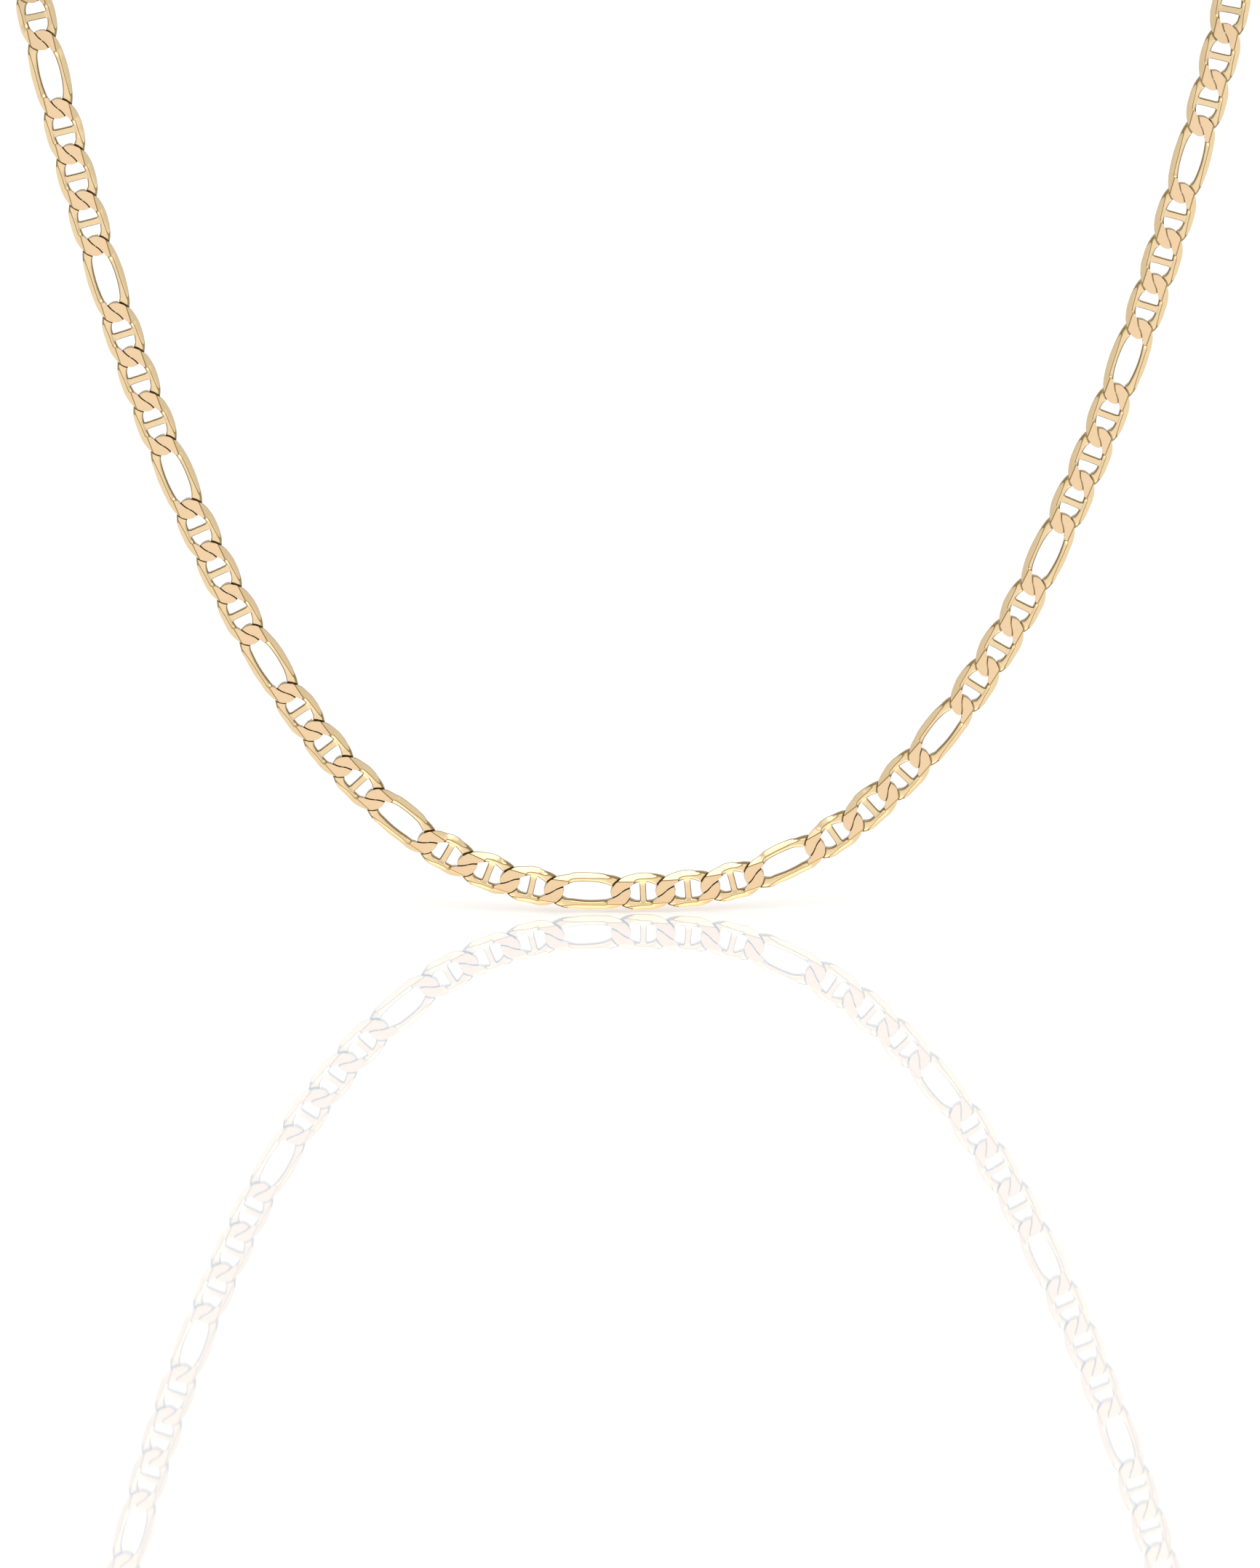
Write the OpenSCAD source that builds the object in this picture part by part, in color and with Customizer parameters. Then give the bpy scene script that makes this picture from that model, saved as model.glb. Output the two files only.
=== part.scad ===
// A figaro chain necklace of the figaro-mariner kind: three short links with a
// bar across each, then one long open link, over and over. It is modelled as it
// is worn, held at the nape, with the front hanging in an upright U.
// X points to the right, the front faces -Y, +Z is up. The origin is the point
// of the nape that the clasp lies on.

/* [Links] */
// Width of every link, across the chain
link_w = 4; // [3.6:0.1:4.6]
// Thickness of the chain between its flat faces
link_t = 1.4; // [1.2:0.05:1.7]
// Width of a link's arm at its middle
arm_w = 0.88; // [0.7:0.02:1]
// Thickness of a link's arm at its middle
arm_t = 1.02; // [0.9:0.02:1.2]
// Width of the flat face, between its two bevels
face_w = 2.5; // [2.3:0.05:2.7]
// Slope of the bevels beside the flat face
bevel_angle = 36; // [28:1:42]
// Spacing of the short links when the chain is taut
short_pitch = 5.04; // [4.9:0.02:5.6]
// Spacing that a long link takes up when the chain is taut
long_pitch = 7.38; // [6.6:0.02:9]
// How much closer the lowest links lie, where the chain is slack
slack = 0.2; // [0:0.02:0.3]
// How far a link's end reaches past the joint, round the end of the next link
end_reach = 1.1; // [1:0.02:1.2]
// Gap between the front end of one link and the back end of the next, which it lies on
end_gap = 0.2; // [0.16:0.02:0.3]

/* [Crossbars] */
// Width of the bar across a short link, along the chain
bar_w = 0.86; // [0.6:0.02:1]

/* [Chain] */
// Links in the left half, from its jump ring to the front
left_links = 42; // [30:1:50]
// Links in the right half, from the front to its jump ring
right_links = 45; // [30:1:50]

/* [Clasp] */
// Length of the clasp between the wires of its two jump rings
clasp_pitch = 10.4; // [9:0.1:14]
// Width of the clasp body
clasp_w = 4.6; // [4:0.1:6]
// Thickness of the clasp body
clasp_t = 2; // [1.6:0.1:2.6]
// Width of the metal round the clasp's opening
clasp_rim = 1.2; // [1:0.1:1.5]
// Length of the clasp's opening
clasp_open = 4.8; // [4:0.1:5.4]
// Wire diameter of the clasp's eye
eye_wire_d = 0.9; // [0.8:0.05:1.1]
// Inner diameter of the clasp's eye
eye_hole_d = 1.6; // [1.4:0.1:2]
// How far the clasp's middle lies to the left of the nape's middle
clasp_shift = 0.8; // [0:0.1:2]

/* [Jump rings] */
// Wire diameter of a jump ring
ring_wire_d = 0.8; // [0.7:0.05:0.9]
// Outer diameter of a jump ring
ring_d = 5; // [4.8:0.1:5.6]
// Clearance between a jump ring and what it holds
ring_gap = 0.24; // [0.2:0.02:0.3]

/* [Hidden] */
gold = [0.90, 0.71, 0.42];

// The route of the chain's middle line, from the nape round the left side, along
// the front and back round the right side. The points are where the chain lies,
// and the route as a whole is sized to the chain's real length.
ROUTE = [
    [0, 0, 0], [-24, -4, 0], [-44, -15.5, 0], [-57.5, -31, 0], [-64.3, -45, -0.4],
    [-66.4, -56, -2.8], [-66.3, -65, -9], [-64.8, -71, -18.7],
    [-62.5, -73, -30.5], [-58.9, -73, -46.5], [-53.5, -73, -66], [-46.6, -73, -84.8],
    [-38.1, -73, -101.7], [-30, -73, -112.5], [-20.7, -73, -120.3], [-11.5, -73, -124],
    [0, -73, -124.7], [10.5, -73, -123.6], [21.1, -73, -118.6], [30.5, -73, -109.9],
    [38.8, -73, -98], [46.5, -73, -82.2], [53.4, -73, -64], [58.9, -73, -45.5],
    [62.7, -73, -30.5],
    [64.8, -71, -18.7], [66.3, -65, -9], [66.4, -56, -2.8], [64.3, -45, -0.4],
    [57.5, -31, 0], [44, -15.5, 0], [24, -4, 0]
];

// Steps between two route points when its length is measured
route_steps = 8;
// Depth, from the front, over which the chain's face turns from the front to the side
turn_depth = 40;
// How far the chain's face leans up where it lies over the shoulders
shoulder_lean = 1.7;
// Number of links, each way from the lowest one, over which the slack fades
slack_reach = 4.5;
// Sides of a link's ring and of its wire
ring_sides = 14;
wire_sides = 6;
// The end of a link in sections of its wire: the post that joins the link's front to
// its back, the edge of the post, and the plate that lies over the next link's. Each
// corner is a share of end_reach along the chain, from the joint, a share of half of
// link_w across it, and a share of the height
// [along, across, height over the middle, as a share of half of link_t]
POST = [
    [-1, 0, 0.64], [-0.84, 0, 1], [-0.27, 0, 1], [-0.27, 0, -1], [-0.84, 0, -1], [-1, 0, -0.64]
];
// [along, across, height over the underside, as a share of the plate's thickness]
EDGE = [
    [-0.93, 0.27, 0.55], [-0.77, 0.25, 1], [0.45, 0.19, 1],
    [-0.18, 0.08, 0], [-0.73, 0.17, 0], [-0.93, 0.25, 0]
];
PLATE = [
    [-0.45, 0.61, 0.6], [-0.34, 0.55, 1], [0.8, 0.43, 1],
    [0.78, 0.45, 0.12], [0.18, 0.52, 0.12], [-0.45, 0.61, 0.12]
];
// How far each half of an arm leans from the chain's middle to the plate beside it
arm_lean = 0.09;
// Length of the even stretch in the middle of a long link's arms
long_flat = 2;
// How far a jump ring is turned from upright, away from the link end that it holds
ring_turn = 15;
// Smoothness of round pieces
round_fn = 48;

// The route as a smooth curve

function next(i) = (i + 1) % len(ROUTE);
function prev(i) = (i + len(ROUTE) - 1) % len(ROUTE);
function chord(i) = norm(ROUTE[next(i)] - ROUTE[i]);

// Direction of the curve at a route point, weighted by the distances to its neighbours
function heading(i) =
    let (before = chord(prev(i)), after = chord(i))
    (after * (ROUTE[i] - ROUTE[prev(i)]) / before + before * (ROUTE[next(i)] - ROUTE[i]) / after)
        / (before + after);

// Cubic Hermite curve between route points, where u counts the points
function curve(u) =
    let (i = floor(u) % len(ROUTE), f = u - floor(u), f2 = f * f, f3 = f2 * f)
    (2 * f3 - 3 * f2 + 1) * ROUTE[i] + (3 * f2 - 2 * f3) * ROUTE[next(i)]
        + chord(i) * ((f3 - 2 * f2 + f) * heading(i) + (f3 - f2) * heading(next(i)));

function running_sum(list) =
    [for (i = 0, total = 0; i <= len(list); total = total + (i < len(list) ? list[i] : 0), i = i + 1) total];

samples = [for (i = [0:len(ROUTE) * route_steps]) curve(i / route_steps)];
steps = [for (i = [1:len(samples) - 1]) norm(samples[i] - samples[i - 1])];
lengths = running_sum(steps);
route_len = lengths[len(lengths) - 1];
length_table = [for (i = [0:len(lengths) - 1]) [lengths[i], i / route_steps]];

// The links and how they are spaced

first_link = -left_links;
last_link = right_links - 1;

// Every fourth link is the long one, counted from the one beside the lowest point
function is_long(k) = k % 4 == 0;

function spacing(k) =
    (is_long(k) ? long_pitch : short_pitch) - slack * exp(-pow((k - 1) / slack_reach, 2));

// How far the middle of a wire lies past the joint where it holds another wire
function seat(wire, other) = (wire + other) / 4 + ring_gap / 2;

// The same for a jump ring in the end of a link, whose opening narrows to a point
link_seat = EDGE[2][0] * end_reach + ring_wire_d / 2;

// A jump ring needs more room round the clasp's flat body than round a wire, because
// the body's corners meet the ring's inside first
ring_hole_d = ring_d - 2 * ring_wire_d;
crossed_t = clasp_t / cos(ring_turn) + ring_wire_d * tan(ring_turn);
clasp_corner = (ring_hole_d - sqrt(ring_hole_d * ring_hole_d - crossed_t * crossed_t)) / 2;
left_ring_span = ring_d - ring_wire_d - seat(ring_wire_d, eye_wire_d) - link_seat;
right_ring_span = ring_d - ring_wire_d - seat(ring_wire_d, clasp_rim) - link_seat - clasp_corner;

spacings = [for (k = [first_link:last_link]) spacing(k)];
clasp_left = clasp_shift + clasp_pitch / 2;
chain_start = clasp_left + left_ring_span;
joints = [for (s = running_sum(spacings)) chain_start + s];
chain_end = joints[len(joints) - 1];
clasp_right = chain_end + right_ring_span;
loop_len = clasp_right + clasp_pitch - clasp_left;
route_scale = loop_len / route_len;

// The point of the route at a distance along the real chain, with the clasp's inner
// face on the nape
function at(s) =
    route_scale * curve(lookup(((s + loop_len) % loop_len) / route_scale, length_table))
        + [0, clasp_t / 2, 0];

function unit(v) = v / norm(v);

// Half the width and half the depth of the neck space inside the route
neck_x = max([for (p = ROUTE) p[0]]);
neck_y = -min([for (p = ROUTE) p[1]]) / 2;

// The direction away from the body: forward on the front, then outward and up over
// the shoulders, and backward at the nape
function outward(p) =
    let (
        depth = p[1] / route_scale + 2 * neck_y,
        q = min(max(depth / turn_depth, 0), 1),
        share = q * q * (3 - 2 * q),
        side = p[0] / neck_x
    )
    [share * side, depth / neck_y - 1, share * side * side * shoulder_lean];

// A place is an origin, the direction along the chain, the direction across it and the
// direction that its face points in
function spot(origin, along, out) =
    let (face = unit(out - (out * along) * along))
    [origin, along, cross(face, along), face];

// The place of a piece between two joints
function place(from, to) =
    let (a = at(from), b = at(to), middle = (a + b) / 2)
    spot(middle, unit(b - a), outward(middle));

function link_place(k) = place(joints[k - first_link], joints[k - first_link + 1]);

// The place of the joint at the start of a link, halfway between the two links' places
function joint_place(k) =
    let (
        before = link_place(max(k - 1, first_link)),
        after = link_place(min(k, last_link))
    )
    spot(at(joints[k - first_link]), unit(before[1] + after[1]), before[3] + after[3]);

// One link as a mesh. It is a ring of sections of its wire, pressed so that each end
// lies flat over one end of the next link, and cut flat on its front and back

// Height of the cut face over the chain's plane, which falls along the bevels
function cut_height(y) = link_t / 2 - max(abs(y) - face_w / 2, 0) * tan(bevel_angle);

function end_section(rows, underside) = [
    for (row = rows) [
        row[0] * end_reach,
        row[1] * link_w / 2,
        underside + row[2] * (link_t / 2 - underside)
    ]
];

ends = [end_section(POST, 0), end_section(EDGE, end_gap / 2), end_section(PLATE, end_gap / 2)];

// The section of an arm beside its middle, at the end of its even stretch
function arm_section(k) =
    let (
        x = -(is_long(k) ? long_flat : bar_w) / 2,
        outer = link_w / 2,
        inner = outer - arm_w,
        middle = outer - arm_w / 2,
        top = arm_lean + arm_t / 2,
        underside = arm_lean - arm_t / 2
    )
    [
        [x, outer, cut_height(outer)],
        [x, middle, min(top, cut_height(middle))],
        [x, inner, min(top, cut_height(inner))],
        [x, inner, max(underside, -cut_height(inner))],
        [x, middle, max(underside, -cut_height(middle))],
        [x, outer, -cut_height(outer)]
    ];

// The same section where the arm goes on behind the chain's plane
function behind(section) = [
    for (i = [wire_sides - 1:-1:0]) [-section[i][0], section[i][1], -section[i][2]]
];

function placed(point, spot) =
    spot[0] + point[0] * spot[1] + point[1] * spot[2] + point[2] * spot[3];

// Half of a link, which runs in front from the first joint to the arm's middle and
// behind from there to the last joint
function half_ring(k, first, own, last) =
    let (
        sections = [
            [ends[0], first], [ends[1], first], [ends[2], first],
            [arm_section(k), own], [behind(arm_section(k)), own],
            [behind(ends[2]), last], [behind(ends[1]), last]
        ]
    )
    [for (s = sections, p = s[0]) placed(p, s[1])];

// The other half is the same, turned half round on its face
function turned(spot) = [spot[0], -spot[1], -spot[2], spot[3]];

function link_points(k) =
    let (first = joint_place(k), own = link_place(k), last = joint_place(k + 1))
    concat(half_ring(k, first, own, last), half_ring(k, turned(last), turned(own), turned(first)));

// Two triangles of a quad, seen clockwise from outside
function quad(a, b, c, d) = [[a, b, c], [a, c, d]];

function ring_corner(i, j) = (i % ring_sides) * wire_sides + j % wire_sides;

// The face of the wire that looks into the hole, and the ring sides at the arms' middles
inner_side = wire_sides / 2 - 1;
arm_sides = [len(ends), len(ends) + ring_sides / 2];

function has_bar_at(k, i, j) =
    !is_long(k) && j == inner_side && (i == arm_sides[0] || i == arm_sides[1]);

function ring_faces(k) = [
    for (i = [0:ring_sides - 1], j = [0:wire_sides - 1])
        if (!has_bar_at(k, i, j))
            each quad(
                ring_corner(i, j), ring_corner(i + 1, j),
                ring_corner(i + 1, j + 1), ring_corner(i, j + 1)
            )
];

// The bar is a four-sided tube from one arm's inner face to the other's, and the arms
// are open inside it, so that link and bar are one solid
function bar_faces(k) =
    let (
        p = arm_sides[0],
        q = arm_sides[1],
        upper = [ring_corner(p, inner_side), ring_corner(p + 1, inner_side),
            ring_corner(p + 1, inner_side + 1), ring_corner(p, inner_side + 1)],
        lower = [ring_corner(q + 1, inner_side), ring_corner(q, inner_side),
            ring_corner(q, inner_side + 1), ring_corner(q + 1, inner_side + 1)]
    )
    is_long(k) ? [] : [
        for (i = [0:3])
            each quad(upper[i], upper[(i + 1) % 4], lower[(i + 1) % 4], lower[i])
    ];

// A run of links, loose in one another, from link number first to link number last
module chain(first, last) {
    corners = ring_sides * wire_sides;
    points = [for (k = [first:last], p = link_points(k)) p];
    faces = [
        for (k = [first:last], f = concat(ring_faces(k), bar_faces(k)))
            [for (v = f) v + (k - first) * corners]
    ];
    polyhedron(points, faces);
}

// Moves a piece that lies along X, with its face to +Z, to its place on the route
module on_route(from, to) {
    spot = place(from, to);
    multmatrix([
        for (row = [0:2]) [spot[1][row], spot[2][row], spot[3][row], spot[0][row]],
        [0, 0, 0, 1]
    ]) children();
}

// Sub-parts

module torus(outer_d, tube_d) {
    rotate_extrude($fn = round_fn)
        translate([(outer_d - tube_d) / 2, 0])
            circle(d = tube_d, $fn = round_fn / 2);
}

// A jump ring stands nearly on edge, across both the flat clasp and the end of the
// chain. It sits as far along its span as the wires that it holds differ
module jump_ring(from, to, shift, turn) {
    color(gold)
        on_route(from, to)
            translate([shift, 0, 0])
                rotate([90 + turn, 0, 0])
                    torus(ring_d, ring_wire_d);
}

module jump_ring_left() {
    shift = (link_seat - seat(ring_wire_d, eye_wire_d)) / 2;
    jump_ring(clasp_left, chain_start, shift, ring_turn);
}

module jump_ring_right() {
    shift = (seat(ring_wire_d, clasp_rim) + clasp_corner - link_seat) / 2;
    jump_ring(chain_end, clasp_right, shift, -ring_turn);
}

module stadium(length, width) {
    flat = length - width;
    for (side = [-1, 1])
        translate([side * flat / 2, 0])
            circle(d = width, $fn = round_fn);
    square([flat, width], center = true);
}

// The clasp is one plain closed piece: a flat body with a long opening that holds the
// right jump ring, and an eye that holds the left one
module clasp() {
    eye_x = clasp_pitch / 2 + seat(eye_wire_d, ring_wire_d) - (eye_hole_d + eye_wire_d) / 2;
    tip_x = -clasp_pitch / 2 - seat(clasp_rim, ring_wire_d) - clasp_rim / 2;
    heel_x = eye_x - eye_hole_d / 2;
    body_len = heel_x - tip_x;
    color(gold)
        on_route(clasp_right, loop_len + clasp_left) {
            translate([(heel_x + tip_x) / 2, 0, -clasp_t / 2])
                linear_extrude(clasp_t)
                    difference() {
                        stadium(body_len, clasp_w);
                        translate([clasp_rim + clasp_open / 2 - body_len / 2, 0])
                            stadium(clasp_open, clasp_w - 2 * clasp_rim);
                    }
            translate([eye_x, 0, 0])
                torus(eye_hole_d + 2 * eye_wire_d, eye_wire_d);
        }
}

module chain_left() {
    color(gold) chain(first_link, -1);
}

module chain_right() {
    color(gold) chain(0, last_link);
}

chain_left();
chain_right();
jump_ring_left();
jump_ring_right();
clasp();
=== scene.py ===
"""Looks of a figaro chain necklace: cut gold links, two jump rings and a clasp.

The chain has three short links with a bar across each and then one long open link, over
and over. Every size is in metres and every place is in the necklace's own frame: +X to
the right, the front facing -Y, +Z up, and the origin at the nape, under the clasp.
"""

import math

import bmesh
import bpy
import numpy as np
from mathutils import Matrix, Vector


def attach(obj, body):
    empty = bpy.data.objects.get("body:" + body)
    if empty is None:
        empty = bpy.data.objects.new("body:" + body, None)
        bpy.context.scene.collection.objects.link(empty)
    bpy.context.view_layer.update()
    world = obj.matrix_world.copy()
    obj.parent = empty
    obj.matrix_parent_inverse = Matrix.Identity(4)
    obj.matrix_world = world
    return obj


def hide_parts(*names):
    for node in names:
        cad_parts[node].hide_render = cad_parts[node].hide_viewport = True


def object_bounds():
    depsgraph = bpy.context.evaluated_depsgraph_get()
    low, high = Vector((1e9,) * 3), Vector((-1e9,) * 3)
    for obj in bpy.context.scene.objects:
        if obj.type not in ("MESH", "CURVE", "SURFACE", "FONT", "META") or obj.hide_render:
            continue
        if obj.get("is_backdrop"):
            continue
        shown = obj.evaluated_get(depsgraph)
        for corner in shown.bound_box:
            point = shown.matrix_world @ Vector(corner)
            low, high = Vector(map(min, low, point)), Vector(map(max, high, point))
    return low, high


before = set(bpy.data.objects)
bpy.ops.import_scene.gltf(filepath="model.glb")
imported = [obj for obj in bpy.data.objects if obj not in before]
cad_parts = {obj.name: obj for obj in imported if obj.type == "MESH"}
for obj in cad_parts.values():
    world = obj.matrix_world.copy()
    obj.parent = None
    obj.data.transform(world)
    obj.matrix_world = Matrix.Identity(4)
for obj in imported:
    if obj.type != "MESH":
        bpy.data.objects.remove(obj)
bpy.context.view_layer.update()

bl_info = {
    "name": "Figaro chain necklace",
    "version": (1, 0, 0),
    "blender": (4, 5, 0),
    "location": "3D View > Sidebar > Necklace",
    "description": "Makes the cut gold links, jump rings and clasp of a necklace",
    "category": "Add Mesh",
}

MM = 0.001
FULL_TURN = 2 * math.pi
QUARTER_TURN = math.pi / 2

# The route of the chain's middle line in millimetres, from the nape round the left
# side, along the front and back round the right side
ROUTE = MM * np.array([
    (0, 0, 0), (-24, -4, 0), (-44, -15.5, 0), (-57.5, -31, 0), (-64.3, -45, -0.4),
    (-66.4, -56, -2.8), (-66.3, -65, -9), (-64.8, -71, -18.7),
    (-62.5, -73, -30.5), (-58.9, -73, -46.5), (-53.5, -73, -66), (-46.6, -73, -84.8),
    (-38.1, -73, -101.7), (-30, -73, -112.5), (-20.7, -73, -120.3), (-11.5, -73, -124),
    (0, -73, -124.7), (10.5, -73, -123.6), (21.1, -73, -118.6), (30.5, -73, -109.9),
    (38.8, -73, -98), (46.5, -73, -82.2), (53.4, -73, -64), (58.9, -73, -45.5),
    (62.7, -73, -30.5),
    (64.8, -71, -18.7), (66.3, -65, -9), (66.4, -56, -2.8), (64.3, -45, -0.4),
    (57.5, -31, 0), (44, -15.5, 0), (24, -4, 0),
])

# Steps between two route points when its length is measured
ROUTE_STEPS = 8
# Depth, from the front, over which the chain's face turns from the front to the side
TURN_DEPTH = 40 * MM
# How far the chain's face leans up where it lies over the shoulders
SHOULDER_LEAN = 1.7
# Number of links, each way from the lowest one, over which the slack fades
SLACK_REACH = 4.5
# One link in so many is a long one
PATTERN = 4


# Properties that a user would change


def length(name, description, size):
    """A length property with its default given in millimetres."""
    return bpy.props.FloatProperty(
        name=name, description=description, default=size * MM, min=0, unit="LENGTH", precision=6
    )


def angle(name, description, degrees):
    """An angle property with its default given in degrees."""
    return bpy.props.FloatProperty(
        name=name, description=description, default=math.radians(degrees), unit="ROTATION"
    )


def share(name, description, value):
    """A property that is a share of one."""
    return bpy.props.FloatProperty(
        name=name, description=description, default=value, min=0, soft_max=1
    )


def tint(name, description, color):
    """A colour property, in linear red, green and blue."""
    return bpy.props.FloatVectorProperty(
        name=name, description=description, default=color, subtype="COLOR", size=3, min=0, max=1
    )


class LinkSizes(bpy.types.PropertyGroup):
    """Sizes of the links and of the chain that they make."""

    width: length("Link width", "Width of every link, across the chain", 4)
    thickness: length("Thickness", "Thickness between the flat cut faces", 1.4)
    arm: length("Arm width", "Width of a link's arm at its middle", 0.88)
    arm_thickness: length("Arm thickness", "Thickness of a link's arm at its middle", 1.02)
    face: length("Cut face", "Width of the flat cut face between its bevels", 2.5)
    bevel: angle("Bevel", "Slope of the bevels beside the flat face", 36)
    short_pitch: length("Short pitch", "Spacing of the short links", 5.04)
    long_pitch: length("Long pitch", "Spacing that a long link takes up", 7.38)
    slack: length("Slack", "How much closer the lowest links lie", 0.2)
    end_gap: length("End gap", "Gap between a link's front end and the end behind it", 0.2)
    slot: length("Slot", "How far past the joint a link's opening starts", 0.495)
    seam: length("Seam", "Width of the seam between two links' faces", 0.112)
    seam_angle: angle("Seam angle", "Slope of the seam against the chain's length", 31)
    bar: length("Bar width", "Width of the bar along the chain", 0.86)
    bar_waist: share("Bar waist", "How much narrower the bar is between the arms", 0.1)
    left_links: bpy.props.IntProperty(
        name="Left links", description="Links left of the lowest point", default=42, min=1
    )
    right_links: bpy.props.IntProperty(
        name="Right links", description="Links right of the lowest point", default=45, min=1
    )


class FindingSizes(bpy.types.PropertyGroup):
    """Sizes of the clasp and of its two jump rings."""

    clasp_pitch: length("Clasp pitch", "Clasp length between its jump rings' wires", 10.4)
    clasp_width: length("Clasp width", "Width of the clasp body", 4.6)
    clasp_thickness: length("Clasp thickness", "Thickness of the clasp body", 2)
    clasp_rim: length("Clasp rim", "Width of the metal round the opening", 1.2)
    clasp_open: length("Opening", "Length of the clasp's opening", 4.8)
    clasp_edge: length("Clasp edge", "Rounding of the clasp body's edges", 0.5)
    clasp_shift: length("Clasp shift", "How far left of the nape's middle it lies", 0.8)
    eye_wire: length("Eye wire", "Wire diameter of the clasp's eye", 0.9)
    eye_hole: length("Eye hole", "Inner diameter of the clasp's eye", 1.6)
    ring_wire: length("Ring wire", "Wire diameter of a jump ring", 0.8)
    ring: length("Ring", "Outer diameter of a jump ring", 5)
    ring_turn: angle("Ring turn", "How far a jump ring is turned from upright", 15)
    gap: length("Ring gap", "Clearance between a jump ring and what it holds", 0.24)


class GoldFinish(bpy.types.PropertyGroup):
    """Colours and polish of the gold."""

    face_color: tint("Cut face", "Colour of the flat cut faces", (0.825, 0.60, 0.37))
    # Gold of the bevels and of the wire where no shade is painted
    bevel_and_wire_color: tint("Worn", "Colour of the bevels and of the worn wire", (0.825, 0.63, 0.38))
    # Painted shade: a dark colour that stands in for shade on the wire's sides, the walls of the
    # openings, the seams and the lines beside the bevels
    painted_shade_color: tint("Wire", "Colour of the round, uncut wire", (0.31, 0.21, 0.075))
    face_roughness: share("Cut face roughness", "Roughness of the cut faces", 0.14)
    wire_roughness: share("Wire roughness", "Roughness of the round wire", 0.24)
    grain: length("Grain", "Size of the polishing marks", 0.12)
    grain_depth: length("Grain depth", "Depth of the polishing marks", 0.004)


class StudioStage(bpy.types.PropertyGroup):
    """The floor, the light and the view."""

    floor_gap: length("Floor gap", "Room between the lowest link and the floor", 0.3)
    floor_size: length("Floor size", "Side of the square floor", 9000)
    floor_color: tint("Floor", "Colour of the pale floor", (0.48, 0.585, 0.67))
    floor_gloss: tint("Floor gloss", "Colour of the floor's gloss", (0.62, 0.49, 0.385))
    floor_roughness: share("Floor roughness", "Roughness of the floor's gloss", 0.02)
    view_pitch: angle("View pitch", "How far the camera looks down", 13)
    view_roll: angle("View roll", "How far the camera is turned in its own view", -0.43)
    view_distance: length("View distance", "Distance to the chain's front", 850)


# The necklace's layout


def unit(vectors):
    """Vectors of length one with the same directions."""
    return vectors / np.linalg.norm(vectors, axis=-1, keepdims=True)


def axes(along, out):
    """Axes as rows: along, across, and out of the face as nearly as along allows."""
    along = unit(along)
    face = unit(out - np.sum(out * along, 1, keepdims=True) * along)
    return np.stack((along, np.cross(face, along), face), 1)


def ease(value, start, end):
    """The smooth step 3 q^2 - 2 q^3, which goes from 0 at start to 1 at end."""
    q = np.clip((value - start) / (end - start), 0, 1)
    return q * q * (3 - 2 * q)


def link_pitch(sizes, is_long):
    """The pitch of a long or of a short link, also of many at once."""
    return np.where(is_long, sizes.long_pitch, sizes.short_pitch)


def seat(wire, other, gap):
    """How far the middle of a wire lies past the joint where it holds another wire."""
    return (wire + other) / 4 + gap / 2


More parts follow.
